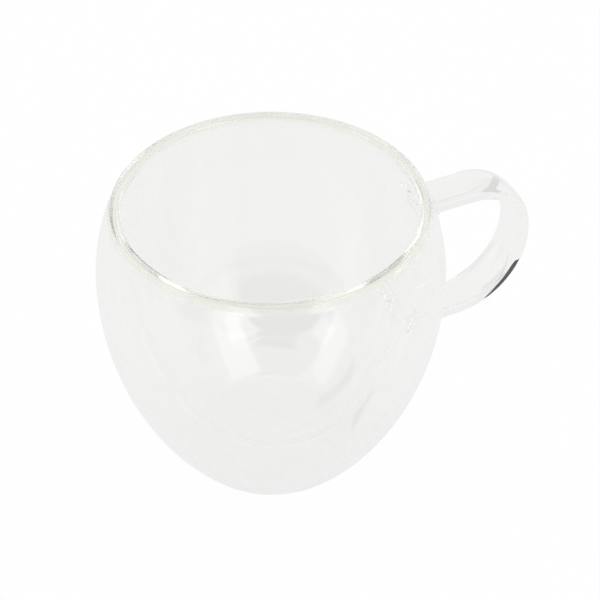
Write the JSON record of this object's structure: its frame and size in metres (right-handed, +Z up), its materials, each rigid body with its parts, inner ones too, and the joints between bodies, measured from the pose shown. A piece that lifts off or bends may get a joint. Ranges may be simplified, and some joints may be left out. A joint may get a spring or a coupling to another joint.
{
  "type": "double walled glass cup",
  "caption": "Egg shaped double walled clear glass cup with a rounded fused rim and a flattened C handle, for hot or cold drinks.",
  "frame": {"origin": "centre of the flat base, on the table", "axes": "+Z up along the cup's axis, +X towards the handle, Y across the handle"},
  "size_m": [0.1265, 0.095, 0.085],
  "materials": {
    "clear_glass": "clear, fire polished"
  },
  "bodies": {
    "root": {"outer_shell": "clear_glass", "inner_bowl": "clear_glass", "rim_ring": "clear_glass", "handle": "clear_glass", "upper_weld": "clear_glass", "lower_weld": "clear_glass", "vent_seal": "clear_glass"}
  },
  "joints": []
}
